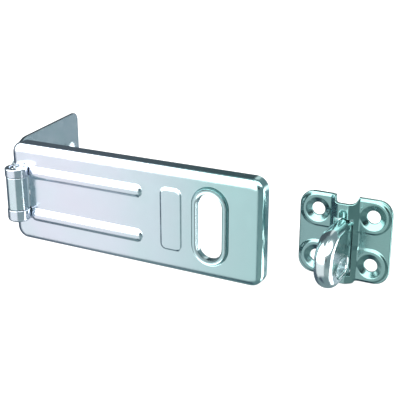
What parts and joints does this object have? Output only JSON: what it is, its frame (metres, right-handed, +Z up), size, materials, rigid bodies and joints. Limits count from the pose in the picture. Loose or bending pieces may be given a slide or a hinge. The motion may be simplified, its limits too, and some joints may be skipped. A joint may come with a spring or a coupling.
{
  "type": "hasp and staple",
  "caption": "Hinged locking hasp with a ribbed cover leaf, a slotted free end and a screw-on mounting leaf, with a separate staple plate whose eye takes a padlock.",
  "frame": {"origin": "middle of the whole object's outline seen from above, on the surface that it stands on", "axes": "+X along the cover leaf from the hinge pin to its free end and on to the staple, +Y from the cover leaf's face to its back, +Z up along the hinge pin"},
  "size_m": [0.1728, 0.075, 0.0422],
  "materials": {
    "zinc_cover": "bright zinc plate, smooth and glossy",
    "zinc_pin": "bright zinc plate",
    "zinc_leaf": "bright zinc plate",
    "zinc_plate": "bright zinc plate, slightly green",
    "plated_eye": "plated hardened steel"
  },
  "bodies": {
    "cover": {"cover_leaf": "zinc_cover", "hinge_pin": "zinc_pin"},
    "leaf": {"mounting_leaf": "zinc_leaf"},
    "staple": {"staple_plate": "zinc_plate", "locking_eye": "plated_eye"}
  },
  "joints": [
    {"name": "leaf_hinge", "type": "hinge", "parent": "cover", "child": "leaf", "pos_m": [-0.06547, -0.03269, 0.0211], "axis": [0, 0, 1], "range_deg": [-100, 80]},
    {"name": "staple_slide", "type": "slide", "parent": "cover", "child": "staple", "axis": [1, 0, 0], "range_m": [-0.016, 0.03]}
  ]
}
